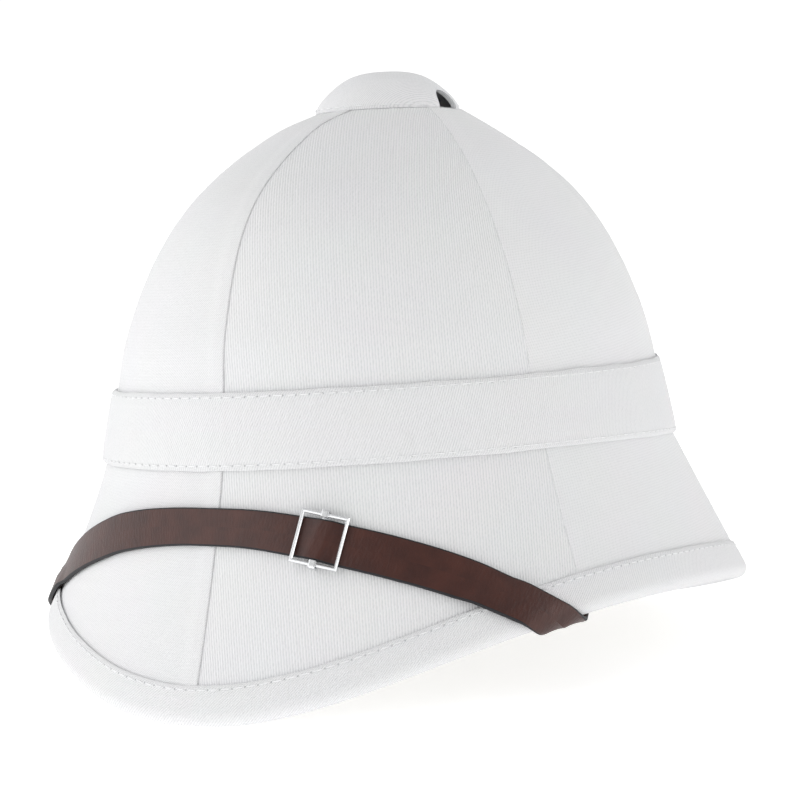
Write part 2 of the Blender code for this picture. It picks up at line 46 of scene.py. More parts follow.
# Sizes that the looks share with the solids
GAP = 0.3 * MM
STRAP_GAP = 0.5 * MM
INNER_GAP = 0.9 * MM
SHELL_THICKNESS = 4.0 * MM
COVER_THICKNESS = 1.0 * MM
BAND_THICKNESS = 1.5 * MM
BINDING_THICKNESS = 1.0 * MM
CROWN_HEIGHT = 94 * MM
CAP_SEAT_RADIUS = 26.5 * MM
SEAT_RISE = 2.5 * MM
SEAT_BACK = 6 * MM
VENT_HOLE_RADIUS = 10.3 * MM
COVER_HOLE_RADIUS = 14.5 * MM
BAND_TOP_LENGTH = 222 * MM
BAND_TOP_WIDTH = 184 * MM
BAND_WIDTH = 27.4 * MM
BAND_TOP_DIP = 3.0 * MM
BAND_BOTTOM_BOW = 1.5 * MM
BAND_BOTTOM_LENGTH = 228 * MM
BAND_BOTTOM_WIDTH = 196 * MM
FRONT_REACH = 139 * MM
SIDE_REACH = 117.5 * MM
BACK_REACH = 150 * MM
FRONT_DROP = 83.6 * MM
SIDE_DROP = 49.4 * MM
BACK_DROP = 66 * MM
FRONT_SWEEP = 2.85
BACK_SWEEP = 2.5
RIM_FULLNESS = 0.048
FLARE = 1.07
FRONT_FLARE = 0.12
BINDING_OUTER_LEG = 9.4 * MM
BINDING_INNER_LEG = 8.0 * MM
CAP_RADIUS = 26.1 * MM
CAP_HEIGHT = 14.2 * MM
CAP_WALL = 2.2 * MM
CAP_DOOR_WIDTH = 12.0 * MM
CAP_DOOR_HEIGHT = 6.3 * MM
COLLAR_WALL = 2.2 * MM
COLLAR_FLANGE_RADIUS = 14.0 * MM
COLLAR_FLANGE_THICKNESS = 1.5 * MM
COLLAR_HEIGHT = 7.0 * MM
POST_RADIUS = 1.8 * MM
STRAP_WIDTH = 13.0 * MM
STRAP_THICKNESS = 1.5 * MM
STRAP_RAMP = 6.0 * MM
STUD_SETBACK = 6.0 * MM
STUD_HEAD_RADIUS = 4.5 * MM
STUD_HEAD_THICKNESS = 1.2 * MM
STUD_SHANK_RADIUS = 1.6 * MM
BUCKLE_ANGLE = 20.6
BUCKLE_LENGTH = 16.6 * MM
BUCKLE_HEIGHT = 18.4 * MM
BUCKLE_RAIL = 1.8 * MM
BUCKLE_THICKNESS = 1.6 * MM
BUCKLE_BAR_WIDTH = 2.4 * MM
BUCKLE_BAR_THICKNESS = 0.7 * MM
BUCKLE_BAR_REST = 0.3 * MM

CROWN_SECTIONS = (
    # height, front, side, back
    (0.00, 1.000, 1.000, 1.000),
    (0.15, 0.985, 0.944, 1.000),
    (0.29, 0.942, 0.869, 0.980),
    (0.43, 0.885, 0.770, 0.947),
    (0.56, 0.807, 0.652, 0.881),
    (0.68, 0.695, 0.524, 0.761),
    (0.785, 0.543, 0.397, 0.568),
    (0.872, 0.383, 0.258, 0.342),
    (0.945, 0.216, 0.120, 0.140),
    (1.00, 0.000, 0.000, 0.000),
)
SEAM_ANGLES = (0, 64, 122, 180, 238, 296, 360)
OUTSIDE, INSIDE = -1, 1
STRAP_ROUTE = (
    # angle, side of the brim, share of the brim's height above the rim
    (-88, INSIDE, 0.84),
    (-82.5, INSIDE, 0.56),
    (-76.5, INSIDE, 0.28),
    (-70.5, INSIDE, 0.00),
    (-65, OUTSIDE, 0.00),
    (-59.5, OUTSIDE, 0.13),
    (-52, OUTSIDE, 0.30),
    (-43.5, OUTSIDE, 0.45),
    (-34, OUTSIDE, 0.575),
    (-25, OUTSIDE, 0.66),
    (-15, OUTSIDE, 0.71),
    (-5, OUTSIDE, 0.728),
    (6, OUTSIDE, 0.718),
    (16, OUTSIDE, 0.671),
    (26, OUTSIDE, 0.585),
    (36, OUTSIDE, 0.46),
    (45, OUTSIDE, 0.30),
    (51.6, OUTSIDE, 0.133),
    (56, OUTSIDE, 0.00),
    (64, INSIDE, 0.00),
    (71, INSIDE, 0.28),
    (78, INSIDE, 0.56),
    (84, INSIDE, 0.84),
)
CAP_OUTLINE = (
    # radius, height, as shares of the cap's own
    (0.00, 1.000),
    (0.27, 0.975),
    (0.47, 0.890),
    (0.63, 0.745),
    (0.76, 0.565),
    (0.885, 0.350),
    (0.975, 0.130),
    (1.00, 0.000),
)

# How the hat rests: leaning back, then set on the floor.
PITCH = radians(-3.485)
LEAN = np.array(Matrix.Rotation(PITCH, 3, "X"))
REST_SHIFT = Vector((0, -0.946 * MM, 75.474 * MM))
REST = Matrix.Translation(REST_SHIFT) @ Matrix.Rotation(PITCH, 4, "X")

WALL = COVER_THICKNESS + GAP + SHELL_THICKNESS
FOLD_CLEAR = WALL / 2 + GAP
FOLD_RADIUS = FOLD_CLEAR + BINDING_THICKNESS
STRAP_BED = FOLD_RADIUS + STRAP_GAP
RIM_ARC = pi * (STRAP_BED + STRAP_THICKNESS / 2)
HOLE_LEAN = WALL * SEAT_RISE / (CAP_SEAT_RADIUS - VENT_HOLE_RADIUS)
COLLAR_RADIUS = VENT_HOLE_RADIUS - HOLE_LEAN - GAP
SEAT_HEIGHT = BAND_WIDTH + CROWN_HEIGHT
BAR_TOP = BUCKLE_BAR_REST + BUCKLE_BAR_THICKNESS

# Sizes of the finer work
CLOTH = 0.6 * MM
LAP_WIDTH = 5.5 * MM
LAP_UNDER = 2.5 * MM
STITCH_SPACING = 4.6 * MM
STITCH_LENGTH = 3.3 * MM
THREAD = 0.42 * MM
BAND_STITCH_INSET = 1.7 * MM
BINDING_STITCH_INSET = 1.6 * MM
BAND_PUFF = 0.25 * MM
STITCH_DENT = 0.22 * MM
DENT_REACH = 0.8 * MM
SEWING_LIFT = 0.02 * MM
STRAP_CORNER = 0.42 * MM
INKED_EDGE = 0.45 * MM
CAP_EDGE = 0.3 * MM
FRAME_BEVEL = 0.62 * MM
FRAME_CORNER = 0.10 * MM
BAR_BEND = 0.45 * MM
BAR_CORNER = 0.22 * MM
BRIDGE_WIDTH = 3 * MM
BRIDGE_THICKNESS = 1.9 * MM
TABLE_RADIUS = 40
# Points closer together than this are one point.
WELD = 0.001 * MM


def mix(low, high, share):
    return low + (high - low) * share


def stack(x, y, z):
    return np.stack(np.broadcast_arrays(x, y, z), axis=-1).astype(float)


def unit(vectors):
    return vectors / np.linalg.norm(vectors, axis=-1, keepdims=True)


def running_length(points):
    """The length along a line of points, from its first point to each."""
    return np.concatenate([[0], np.cumsum(np.linalg.norm(np.diff(points, axis=0), axis=1))])


def round_section(outline, u):
    """Both measures of a cross-section's outline at these shares of its length, and the length there."""
    outline = np.array(outline)
    lengths = running_length(outline)
    at = u * lengths[-1]
    return np.interp(at, lengths, outline[:, 0]), np.interp(at, lengths, outline[:, 1]), at


def length_round(angle, line):
    """The length round the hat from the front, along a line that gives a point for each angle."""
    around = np.linspace(0, 2 * pi, 721)
    return np.interp(angle, around, running_length(line(around)))


def between_rows(rows, place):
    """Every column of a table at places between its rows, on smooth curves through them."""
    values = np.array(rows, float)
    slopes = np.gradient(values, axis=0)
    place = np.asarray(place, float)
    first = np.clip(place.astype(int), 0, len(rows) - 2)
    t = (place - first)[..., None]
    start = values[first] * (1 + 2 * t) * (1 - t) ** 2 + slopes[first] * t * (1 - t) ** 2
    end = values[first + 1] * t * t * (3 - 2 * t) - slopes[first + 1] * t * t * (1 - t)
    return np.moveaxis(start + end, -1, 0)


def crown_point(angle, level):
    """Level 0 is the ventilator's seat, level 1 the top of the band."""
    height, front, side, back = between_rows(CROWN_SECTIONS, (1 - level) * (len(CROWN_SECTIONS) - 1))
    share = mix(side, np.where(np.cos(angle) > 0, front, back), np.cos(angle) ** 2)
    x = mix(CAP_SEAT_RADIUS, BAND_TOP_WIDTH / 2, share) * np.sin(angle)
    y = SEAT_BACK * height**4 - mix(CAP_SEAT_RADIUS, BAND_TOP_LENGTH / 2, share) * np.cos(angle)
    dip = BAND_TOP_DIP * np.cos(angle) * (1 - height)
    return stack(x, y, BAND_WIDTH + CROWN_HEIGHT * height - dip)


def seat_height(radius):
    return SEAT_HEIGHT + SEAT_RISE * (CAP_SEAT_RADIUS - radius) / (CAP_SEAT_RADIUS - VENT_HOLE_RADIUS)


def seat_point(angle, level):
    """The shallow rise under the ventilator, from its seat at level 0 to the vent hole at -1."""
    radius = mix(CAP_SEAT_RADIUS, VENT_HOLE_RADIUS, -level)
    return stack(radius * np.sin(angle), SEAT_BACK - radius * np.cos(angle), seat_height(radius))


def brim_point(angle, level):
    """Level 2 is the lower edge of the band and level 3 the outermost edge of the rim."""
    share = level - 2
    ahead = np.cos(angle) > 0
    reach = np.where(ahead, FRONT_REACH, BACK_REACH)
    drop = np.where(ahead, FRONT_DROP, BACK_DROP)
    sweep = np.where(ahead, FRONT_SWEEP, BACK_SWEEP)
    fullness = 1 + RIM_FULLNESS * np.sin(angle) ** 4 * np.sin(2 * angle) ** 2
    top_z = -BAND_BOTTOM_BOW * np.cos(2 * angle)
    rim_z = -mix(SIDE_DROP, drop, np.abs(np.cos(angle)) ** sweep)
    out = np.maximum(share, 0) ** (FLARE + FRONT_FLARE * np.cos(angle))
    x = mix(BAND_BOTTOM_WIDTH / 2, SIDE_REACH * fullness, out) * np.sin(angle)
    y = -mix(BAND_BOTTOM_LENGTH / 2, reach * fullness, out) * np.cos(angle)
    return stack(x, y, mix(top_z, rim_z, share))


def skin_point(angle, level):
    """A point on the outside of the cover, from the vent hole, -1, to the rim, 3."""
    angle, level = np.broadcast_arrays(np.asarray(angle, float), np.asarray(level, float))
    rise = seat_point(angle, np.clip(level, -1, 0))
    crown = crown_point(angle, np.clip(level, 0, 1))
    brim = brim_point(angle, np.maximum(level, 2))
    share = np.clip(level - 1, 0, 1)[..., None]
    band = mix(crown, brim_point(angle, np.full_like(level, 2)), share)
    place = level[..., None]
    return np.where(place < 0, rise, np.where(place < 1, crown, np.where(place < 2, band, brim)))


def skin_normal(angle, level):
    step = 0.01
    angle, level = np.broadcast_arrays(np.asarray(angle, float), np.asarray(level, float))
    low = np.where(level > 2 + step, level - step, level)
    down = skin_point(angle, low + step) - skin_point(angle, low)
    across = skin_point(angle + step, level) - skin_point(angle - step, level)
    return unit(np.cross(down, across))


def wall_point(angle, level, depth):
    """A point this far inside the cover's outer face."""
    depth = np.asarray(depth, float)[..., None]
    return skin_point(angle, level) - skin_normal(angle, level) * depth


def brim_length(angle):
    return np.linalg.norm(brim_point(angle, 3 + 0 * angle) - brim_point(angle, 2 + 0 * angle), axis=-1)


def level_above_rim(angle, distance):
    """The level this far up the brim from where its wall ends inside the fold of the binding."""
    return 3 - (FOLD_RADIUS + distance) / brim_length(angle)


def short_of_rim(angle, level):
    """The level with the brim's part drawn in, so that 3 is the wall's end inside the binding."""
    return np.where(level > 2, 2 + (level - 2) * (level_above_rim(angle, 0) - 2), level)


def fold_point(angle, along, out):
    """A point of the rim's cross-section: along runs down past the wall's end, out away from it."""
    level = level_above_rim(angle, 0)
    down = unit(brim_point(angle, level) - brim_point(angle, level - 0.01))
    normal = skin_normal(angle, level)
    centre = brim_point(angle, level) - normal * WALL / 2
    return centre + down * np.asarray(along)[..., None] + normal * np.asarray(out)[..., None]


def at_rest(points):
    """The points of the level hat, leaned back and set down. What meets the floor is pressed flat."""
    placed = points @ LEAN.T + np.array(REST_SHIFT)
    placed[..., 2] = np.maximum(placed[..., 2], 0)
    return placed


def wander(angle, scale, seed):
    """A slow unevenness from -1 to 1 round the hat, the same on every run."""
    spots = np.ravel(angle)
    values = [noise.noise(Vector((scale * np.cos(a), scale * np.sin(a), seed))) for a in spots]
    return np.reshape(values, np.shape(angle))


def mapped_grid(columns, rows, shape, maps, second_finish=None):
    """A grid whose every vertex goes where shape(u, v) says, with u and v from 0 to 1.

    maps names UV maps, each with a function that gives its two values in millimetres. second_finish
    says for u and v whether a face there takes the piece's second material.
    """
    made = bmesh.new()
    bmesh.ops.create_grid(made, x_segments=columns, y_segments=rows, size=0.5)
    made.verts.index_update()
    flat = np.array([vertex.co for vertex in made.verts]) + 0.5
    u, v = flat[:, 0], flat[:, 1]
    if second_finish:
        for face in made.faces:
            middle = face.calc_center_median()
            face.material_index = int(second_finish(middle.x + 0.5, middle.y + 0.5))
    for map_name, values in maps.items():
        layer = made.loops.layers.uv.new(map_name)
        pairs = np.stack(np.broadcast_arrays(*values(u, v)), axis=-1)
        for face in made.faces:
            for loop in face.loops:
                loop[layer].uv = pairs[loop.vert.index]
    for vertex, place in zip(made.verts, shape(u, v)):
        vertex.co = place
    return made


def weld(made):
    bmesh.ops.remove_doubles(made, verts=made.verts, dist=WELD)


def close_ends(made):
    """Joins a rolled-up grid along its length and fills its two open ends."""
    weld(made)
    bmesh.ops.holes_fill(made, edges=[edge for edge in made.edges if edge.is_boundary], sides=0)


def put_in_scene(name, made):
    """Makes the mesh an object of the scene."""
    mesh = bpy.data.meshes.new(name)
    made.to_mesh(mesh)
    made.free()
    thing = bpy.data.objects.new(name, mesh)
    bpy.context.scene.collection.objects.link(thing)
    return thing


def finished(name, made, materials, replaced, welded=True, sharp=40):
    """Closes a piece's seams, turns its faces outwards and puts it on the hat."""
    if welded:
        weld(made)
    bmesh.ops.recalc_face_normals(made, faces=made.faces)
    piece = put_in_scene(name, made)
    piece.data.shade_smooth()
    piece.data.set_sharp_from_angle(angle=radians(sharp))
    for finish in materials:
        piece.data.materials.append(finish)
    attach(piece, "root")
    if replaced:
        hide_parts(*replaced)
    return piece


def turned(profile, steps=64):
    """A solid of revolution from its outline, which runs down the outer side and back up inside."""
    made = bmesh.new()
    spots = [made.verts.new((radius, 0, height)) for radius, height in profile]
    edges = [made.edges.new(pair) for pair in zip(spots, spots[1:])]
    bmesh.ops.spin(
        made, geom=spots + edges, axis=(0, 0, 1), cent=(0, 0, 0), angle=2 * pi, steps=steps, use_merge=True
    )
    weld(made)
    bmesh.ops.recalc_face_normals(made, faces=made.faces)
    return made


def spaced(points, spacing):
    """Places at even distances along a line of points, with the directions there."""
    lengths = running_length(points)
    marks = np.arange(spacing / 2, lengths[-1], spacing)
    before, at, after = (
        np.stack([np.interp(marks + step, lengths, points[:, i]) for i in range(3)], -1)
        for step in (-0.5 * MM, 0, 0.5 * MM)
    )
    return at, unit(after - before)


def add_stitches(name, lines, thread_finish):
    """Sewing thread: each stitch is a short rounded length that lies along its seam."""
    made = bmesh.new()
    for points, normals in lines:
        places, along = spaced(points, STITCH_SPACING)
        nearest = [int(np.argmin(np.linalg.norm(points - place, axis=1))) for place in places]
        for place, direction, index in zip(places, along, nearest):
            out = Vector(normals[index])
            x = Vector(direction)
            y = out.cross(x).normalized()
            turn = Matrix((x, y, x.cross(y))).transposed().to_4x4()
            size = Matrix.Diagonal((STITCH_LENGTH / 2, THREAD / 2, THREAD / 2, 1))
            seat = Matrix.Translation(place) @ turn @ size
            bmesh.ops.create_icosphere(made, subdivisions=2, radius=1, matrix=seat)
    return finished(name, made, [thread_finish], [], welded=False)


def linear(hex_colour):
    """An sRGB hex colour as linear red, green, blue and alpha."""
    values = [int(hex_colour[i:i + 2], 16) / 255 for i in (1, 3, 5)]
    return [v / 12.92 if v <= 0.04045 else ((v + 0.055) / 1.055) ** 2.4 for v in values] + [1]


def add_node(tree, kind, settings=None, links=None, **inputs):
    """A node with its settings, its inputs' values and what is linked to them."""
    made = tree.nodes.new(kind)
    for name, value in (settings or {}).items():
        setattr(made, name, value)
    for name, value in inputs.items():
        made.inputs[name].default_value = value
    for name, source in (links or {}).items():
        tree.links.new(source, made.inputs[name])
    return made


def new_finish(name, **inputs):
    """A finish, with the values that are the same all over it."""
    finish = bpy.data.materials.new(name)
    finish.use_nodes = True
    shader = finish.node_tree.nodes["Principled BSDF"]
    for socket, value in inputs.items():
        shader.inputs[socket.replace("_", " ")].default_value = value
    return finish, finish.node_tree, shader


def calculate(tree, operation, *values):
    """A calculation's result. Each value is a number or what another node gives."""
    made = add_node(tree, "ShaderNodeMath", {"operation": operation})
    for socket, value in zip(made.inputs, values):
        if isinstance(value, bpy.types.NodeSocket):
            tree.links.new(value, socket)
        else:
            socket.default_value = value
    return made.outputs[0]


def ranged(tree, value, low, high, to_low=0.0, to_high=1.0, kind="LINEAR"):
    """A value carried over from one range to another."""
    ends = {"From Min": low, "From Max": high, "To Min": to_low, "To Max": to_high}
    made = add_node(tree, "ShaderNodeMapRange", {"interpolation_type": kind}, {"Value": value}, **ends)
    return made.outputs["Result"]


def object_place(tree):
    return add_node(tree, "ShaderNodeTexCoord").outputs["Object"]


def map_place(tree, name="Cloth"):
    return add_node(tree, "ShaderNodeUVMap", {"uv_map": name}).outputs["UV"]


def speckle(tree, spot, scale, detail):
    return add_node(tree, "ShaderNodeTexNoise", links={"Vector": spot}, Scale=scale, Detail=detail).outputs["Fac"]


def two_tones(tree, pattern, low, high, start=0.0, end=1.0):
    """A colour that goes from low to high while a pattern's value goes from start to end."""
    shade = add_node(tree, "ShaderNodeValToRGB", links={"Fac": pattern})
    for index, (colour, place) in enumerate(((low, start), (high, end))):
        shade.color_ramp.elements[index].color = linear(colour)
        shade.color_ramp.elements[index].position = place
    return shade.outputs["Color"]


def dress(tree, shader, colour, height=None, strength=0.0, depth=0.0):
    """Gives a finish its colour and, where it has one, its relief."""
    tree.links.new(colour, shader.inputs["Base Color"])
    if height is not None:
        bump = add_node(tree, "ShaderNodeBump", links={"Height": height}, Strength=strength, Distance=depth)
        tree.links.new(bump.outputs["Normal"], shader.inputs["Normal"])


def white_twill(name, rib, turn, relief, cloth_map="Cloth", needle_inset=None, cross=0.35):
    """Bleached cotton twill, pressed flat: the eye reads a fine rib, a soft matt white and a little fuzz at
    grazing angles. The real rib is about 0.45 mm; rib is how coarse it is drawn here so that it shows."""
    finish, tree, shader = new_finish(
        name, Roughness=0.9, IOR=1.5, Sheen_Weight=0.12, Sheen_Roughness=0.5, Specular_IOR_Level=0.25
    )
    # The cloth's maps are in millimetres and the piece itself in metres.
    spot, grain = (map_place(tree, cloth_map), 1.0) if cloth_map else (object_place(tree), 1 / MM)
    per_rib = 2 * pi / 20 / rib * grain
    ribs = add_node(
        tree, "ShaderNodeMapping", links={"Vector": spot}, Rotation=(0, 0, radians(turn)), Scale=[per_rib] * 3
    )
    rib_wave, floats = (
        add_node(
            tree, "ShaderNodeTexWave",
            {"wave_type": "BANDS", "bands_direction": direction, "wave_profile": "SIN"},
            {"Vector": ribs.outputs["Vector"]},
            Scale=scale, Distortion=distortion, Detail=1.0, **{"Detail Scale": detail_scale},
        ).outputs["Fac"]
        for direction, scale, distortion, detail_scale in (("X", 1.0, 0.7, 3.0), ("DIAGONAL", 0.9, 1.2, 1.0))
    )
    weave = calculate(tree, "MULTIPLY_ADD", floats, cross, rib_wave)
    height = calculate(tree, "MULTIPLY_ADD", speckle(tree, spot, 1.1 * grain, 3.0), 0.8, weave)
    crease = add_node(tree, "ShaderNodeTexNoise", links={"Vector": spot}, Scale=0.03 * grain, Detail=2.0)
    # Painted shade: the cloth's colour follows the weave's height, darker in the rib grooves where shade would fall.
    # The speckle in that height and the slow noise multiplied over it vary the tone at random.
    groove_shade_and_mottle = add_node(
        tree, "ShaderNodeMix", {"data_type": "RGBA", "blend_type": "MULTIPLY"},
        {6: two_tones(tree, height, "#d8d9da", "#ececed", 0.35), 7: crease.outputs["Color"]},
    )
    groove_shade_and_mottle.inputs[0].default_value = 0.03
    colour = groove_shade_and_mottle.outputs[2]
    if needle_inset is not None:
        # Painted shade: each needle hole is coloured darker grey, as shade would sit in it. The hole is also pressed
        # into the relief.
        parts = add_node(tree, "ShaderNodeSeparateXYZ", links={0: map_place(tree, "Edge")})
        across = calculate(tree, "SUBTRACT", parts.outputs["X"], needle_inset / MM)
        along = calculate(tree, "PINGPONG", parts.outputs["Y"], STITCH_SPACING / MM / 2)
        offset = add_node(tree, "ShaderNodeCombineXYZ", links={"X": across, "Y": along})
        reach = add_node(tree, "ShaderNodeVectorMath", {"operation": "LENGTH"}, {0: offset.outputs[0]})
        hole = ranged(tree, reach.outputs["Value"], 0.12, 0.42, 1.0, 0.0, "SMOOTHSTEP")
        needle_hole_shade = add_node(tree, "ShaderNodeMix", {"data_type": "RGBA"}, {0: hole, 6: colour})
        needle_hole_shade.inputs[7].default_value = linear("#c2c3c5")
        colour = needle_hole_shade.outputs[2]
        height = calculate(tree, "MULTIPLY_ADD", hole, -2.5, height)
    dress(tree, shader, colour, height, relief, 0.10 * MM)
    return finish


def cotton_thread():
    """Mercerised cotton sewing thread: whiter and a little glossier than the cloth round it."""
    finish, tree, shader = new_finish("cotton_thread", Roughness=0.6, IOR=1.5, Specular_IOR_Level=0.4)
    twist = speckle(tree, object_place(tree), 4 / MM, 2.0)
    dress(tree, shader, two_tones(tree, twist, "#e6e7e9", "#fafafa"))
    return finish


def moulded_pith():
    """Pith pressed over a block and left bare: off-white, matt and slightly open in the grain."""
    finish, tree, shader = new_finish("moulded_pith", Roughness=0.9, IOR=1.45, Specular_IOR_Level=0.25)
    spot = object_place(tree)
    cells = add_node(tree, "ShaderNodeTexVoronoi", links={"Vector": spot}, Scale=1 / (1.6 * MM))
    colour = two_tones(tree, speckle(tree, spot, 1 / (22 * MM), 5.0), "#dedcd8", "#ebeae7", 0.3, 0.7)
    dress(tree, shader, colour, cells.outputs["Distance"], 0.4, 0.2 * MM)
    return finish


def vulcanised_fibre():
    """Vulcanised fibre, a hard paper board: dark olive brown with a dull polish."""
    finish, tree, shader = new_finish("vulcanised_fibre", Roughness=0.55, IOR=1.5)
    fleck = speckle(tree, object_place(tree), 1 / (2.5 * MM), 4.0)
    dress(tree, shader, two_tones(tree, fleck, "#3b3526", "#5c543f"))
    return finish


def strap_leather():
    """Bridle leather, dyed and waxed: deep red brown with a broken grain across the strap and a soft gloss
    that turns grey where it grazes the light."""
    finish, tree, shader = new_finish(
        "strap_leather", Roughness=0.40, IOR=1.5, Coat_Weight=0.10, Coat_Roughness=0.3, Specular_IOR_Level=0.42
    )
    spot = map_place(tree)
    stretched = add_node(tree, "ShaderNodeMapping", links={"Vector": spot}, Scale=(1.25, 0.42, 1))
    grain = add_node(
        tree, "ShaderNodeTexVoronoi", {"feature": "F1"}, {"Vector": stretched.outputs["Vector"]}, Scale=1.0
    )
    height = calculate(tree, "MULTIPLY_ADD", speckle(tree, spot, 2.6, 4.0), 0.9, grain.outputs["Distance"])
    colour = two_tones(tree, speckle(tree, spot, 0.12, 3.0), "#371a14", "#48241b", 0.3, 0.7)
    dress(tree, shader, colour, height, 0.6, 0.16 * MM)
    return finish


def strap_edge():
    """The strap's cut edge, inked black and burnished."""
    finish, tree, shader = new_finish("inked_edge", Roughness=0.6, IOR=1.5)
    fibre = speckle(tree, map_place(tree), 1.5, 3.0)
    dress(tree, shader, two_tones(tree, fibre, "#0c0d12", "#1d1b20"))
    return finish


def plated_steel():
    """Pressed steel with bright nickel plate: mirror-like flats, lightly scuffed."""
    finish, tree, shader = new_finish("nickel_plate", Metallic=1.0)
    scuff = speckle(tree, object_place(tree), 1 / (0.7 * MM), 6.0)
    tree.links.new(ranged(tree, scuff, 0.0, 1.0, 0.12, 0.32), shader.inputs["Roughness"])
    dress(tree, shader, two_tones(tree, scuff, "#dadcde", "#f5f5f6"), scuff, 0.25, 0.05 * MM)
    return finish


def plain_steel():
    """Turned steel, oiled and left plain: a duller grey with fine wear."""
    finish, tree, shader = new_finish("plain_steel", Metallic=1.0, Roughness=0.4)
    wear = speckle(tree, object_place(tree), 1 / (0.5 * MM), 5.0)
    dress(tree, shader, two_tones(tree, wear, "#7d7f82", "#a9abad"))
    return finish


def down_the_hat(angle, count=400):
    """Levels from under the ventilator to the wall's end, with the length down the cover at each."""
    hole = (COVER_HOLE_RADIUS - CAP_SEAT_RADIUS) / (CAP_SEAT_RADIUS - VENT_HOLE_RADIUS)
    levels = np.linspace(hole, 3, count)
    points = skin_point(np.full(count, angle), levels)
    return levels, running_length(points)


def round_the_hat(angle, level):
    """How far a point of the cover moves for each radian round the hat."""
    step = 0.002
    return np.linalg.norm(skin_point(angle + step, level) - skin_point(angle - step, level), axis=-1) / (2 * step)


# Which gore lies on top at each seam: the one before it, going round to the wearer's left, or after.
BEFORE, AFTER = "before", "after"
UPPER = {0: BEFORE, 64: AFTER, 122: BEFORE, 180: BEFORE, 238: AFTER, 296: BEFORE, 360: BEFORE}
# How far the upper gore stands over the other at each seam. One seam is pressed almost flush.
LAP_RISES = {0: 0.50, 64: 0.16, 122: 0.45, 180: 0.45, 238: 0.45, 296: 0.45, 360: 0.50}


class Gore:
    COLUMNS, ROWS = 76, 150

    def __init__(self, number):
        self.start, self.end = (radians(angle) for angle in SEAM_ANGLES[number:number + 2])
        self.middle = (self.start + self.end) / 2
        self.over_start = UPPER[SEAM_ANGLES[number]] == AFTER
        self.over_end = UPPER[SEAM_ANGLES[number + 1]] == BEFORE
        self.rises = [LAP_RISES[angle] * MM for angle in SEAM_ANGLES[number:number + 2]]
        self.levels, self.lengths = down_the_hat(self.middle)
        self.number = number

    def level(self, angle, v):
        return short_of_rim(angle, np.interp(v * self.lengths[-1], self.lengths, self.levels))

    def spot(self, u, v):
        """(angle, level) of a place on the gore, its columns closer together at the seams."""
        u = mix(u, u * u * (3 - 2 * u), 0.75)
        angle = mix(self.start, self.end, u)
        level = self.level(angle, v)
        under_start = 0 if self.over_start else LAP_UNDER
        under_end = 0 if self.over_end else LAP_UNDER
        widen = mix(-under_start, under_end, u) / round_the_hat(angle, level)
        return angle + widen, level

    def from_edges(self, angle, level):
        """How far a place is from each seam that this gore laps over, or a long way if it doesn't lap it."""
        scale = round_the_hat(angle, level)
        far = 1.0
        first = (angle - self.start) * scale if self.over_start else far
        last = (self.end - angle) * scale if self.over_end else far
        return first, last

    def shape(self, u, v):
        angle, level = self.spot(u, v)
        first, last = self.from_edges(angle, level)
        edge = np.maximum(np.minimum(first, last), 0)
        flat, foot = 0.6 * LAP_WIDTH, 1.5 * LAP_WIDTH
        ease = np.clip((foot - edge) / (foot - flat), 0, 1)
        rise = np.where(first < last, *self.rises) * ease * ease * (3 - 2 * ease)
        rounded = np.minimum(0.25 * MM, 0.5 * rise) * np.clip(1 - edge / (0.5 * MM), 0, 1) ** 2
        pucker = 0.12 * MM * wander(angle + 3 * level, 14, 2.0 + self.number)
        return at_rest(wall_point(angle, level, -(rise - rounded + pucker)))

    def grain(self, u, v):
        angle, level = self.spot(u, v)
        across = (angle - self.middle) * round_the_hat(np.full_like(level, self.middle), level)
        return across / MM, v * self.lengths[-1] / MM

    def add(self, twill):
        made = mapped_grid(self.COLUMNS, self.ROWS, self.shape, {"Cloth": self.grain})
        node = f"cover_gore_{self.number + 1}"
        piece = finished(f"gore_cloth_{self.number + 1}", made, [twill], [node])
        facing_out(piece)
        wall = piece.modifiers.new("cloth", "SOLIDIFY")
        wall.thickness = CLOTH
        wall.offset = -1
        width = float(round_the_hat(np.array(self.middle), np.array(3.0))) * (self.end - self.start)


def facing_out(piece):
    """Turns an open sheet's faces away from the middle of the hat."""
    middle = Vector((0, 0, 0.1))
    face = max(piece.data.polygons, key=lambda f: (f.center - middle).length)
    if face.normal.dot(face.center - middle) < 0:
        piece.data.flip_normals()


def stitches_at(lines, lift):
    """Points and outward directions for sewing that lies on the cover along (angle, level) lines."""
    return [(at_rest(wall_point(*line, -lift)), skin_normal(*line) @ LEAN.T) for line in lines]


def band_section(u):
    """(level, depth) round the band's flat folded cross-section, from the middle of its outer face."""
    half, thick, corner = BAND_WIDTH / 2, BAND_THICKNESS, 0.45 * BAND_THICKNESS
    outline = [(0.0, thick), (half - 4 * corner, thick), (half - corner, thick)]
    for t in np.linspace(0.3, pi / 2, 5):
        outline.append((half - corner * (1 - np.sin(t)), thick - corner * (1 - np.cos(t))))
    outline.append((half, corner))
    for t in np.linspace(0.3, pi / 2, 4):
        outline.append((half - corner * (1 - np.cos(t)), corner * (1 - np.sin(t))))
    outline += [(half - 4 * corner, 0.0), (0.0, 0.0)]
    return round_section(outline + [(-down, out) for down, out in outline[-2::-1]], u)


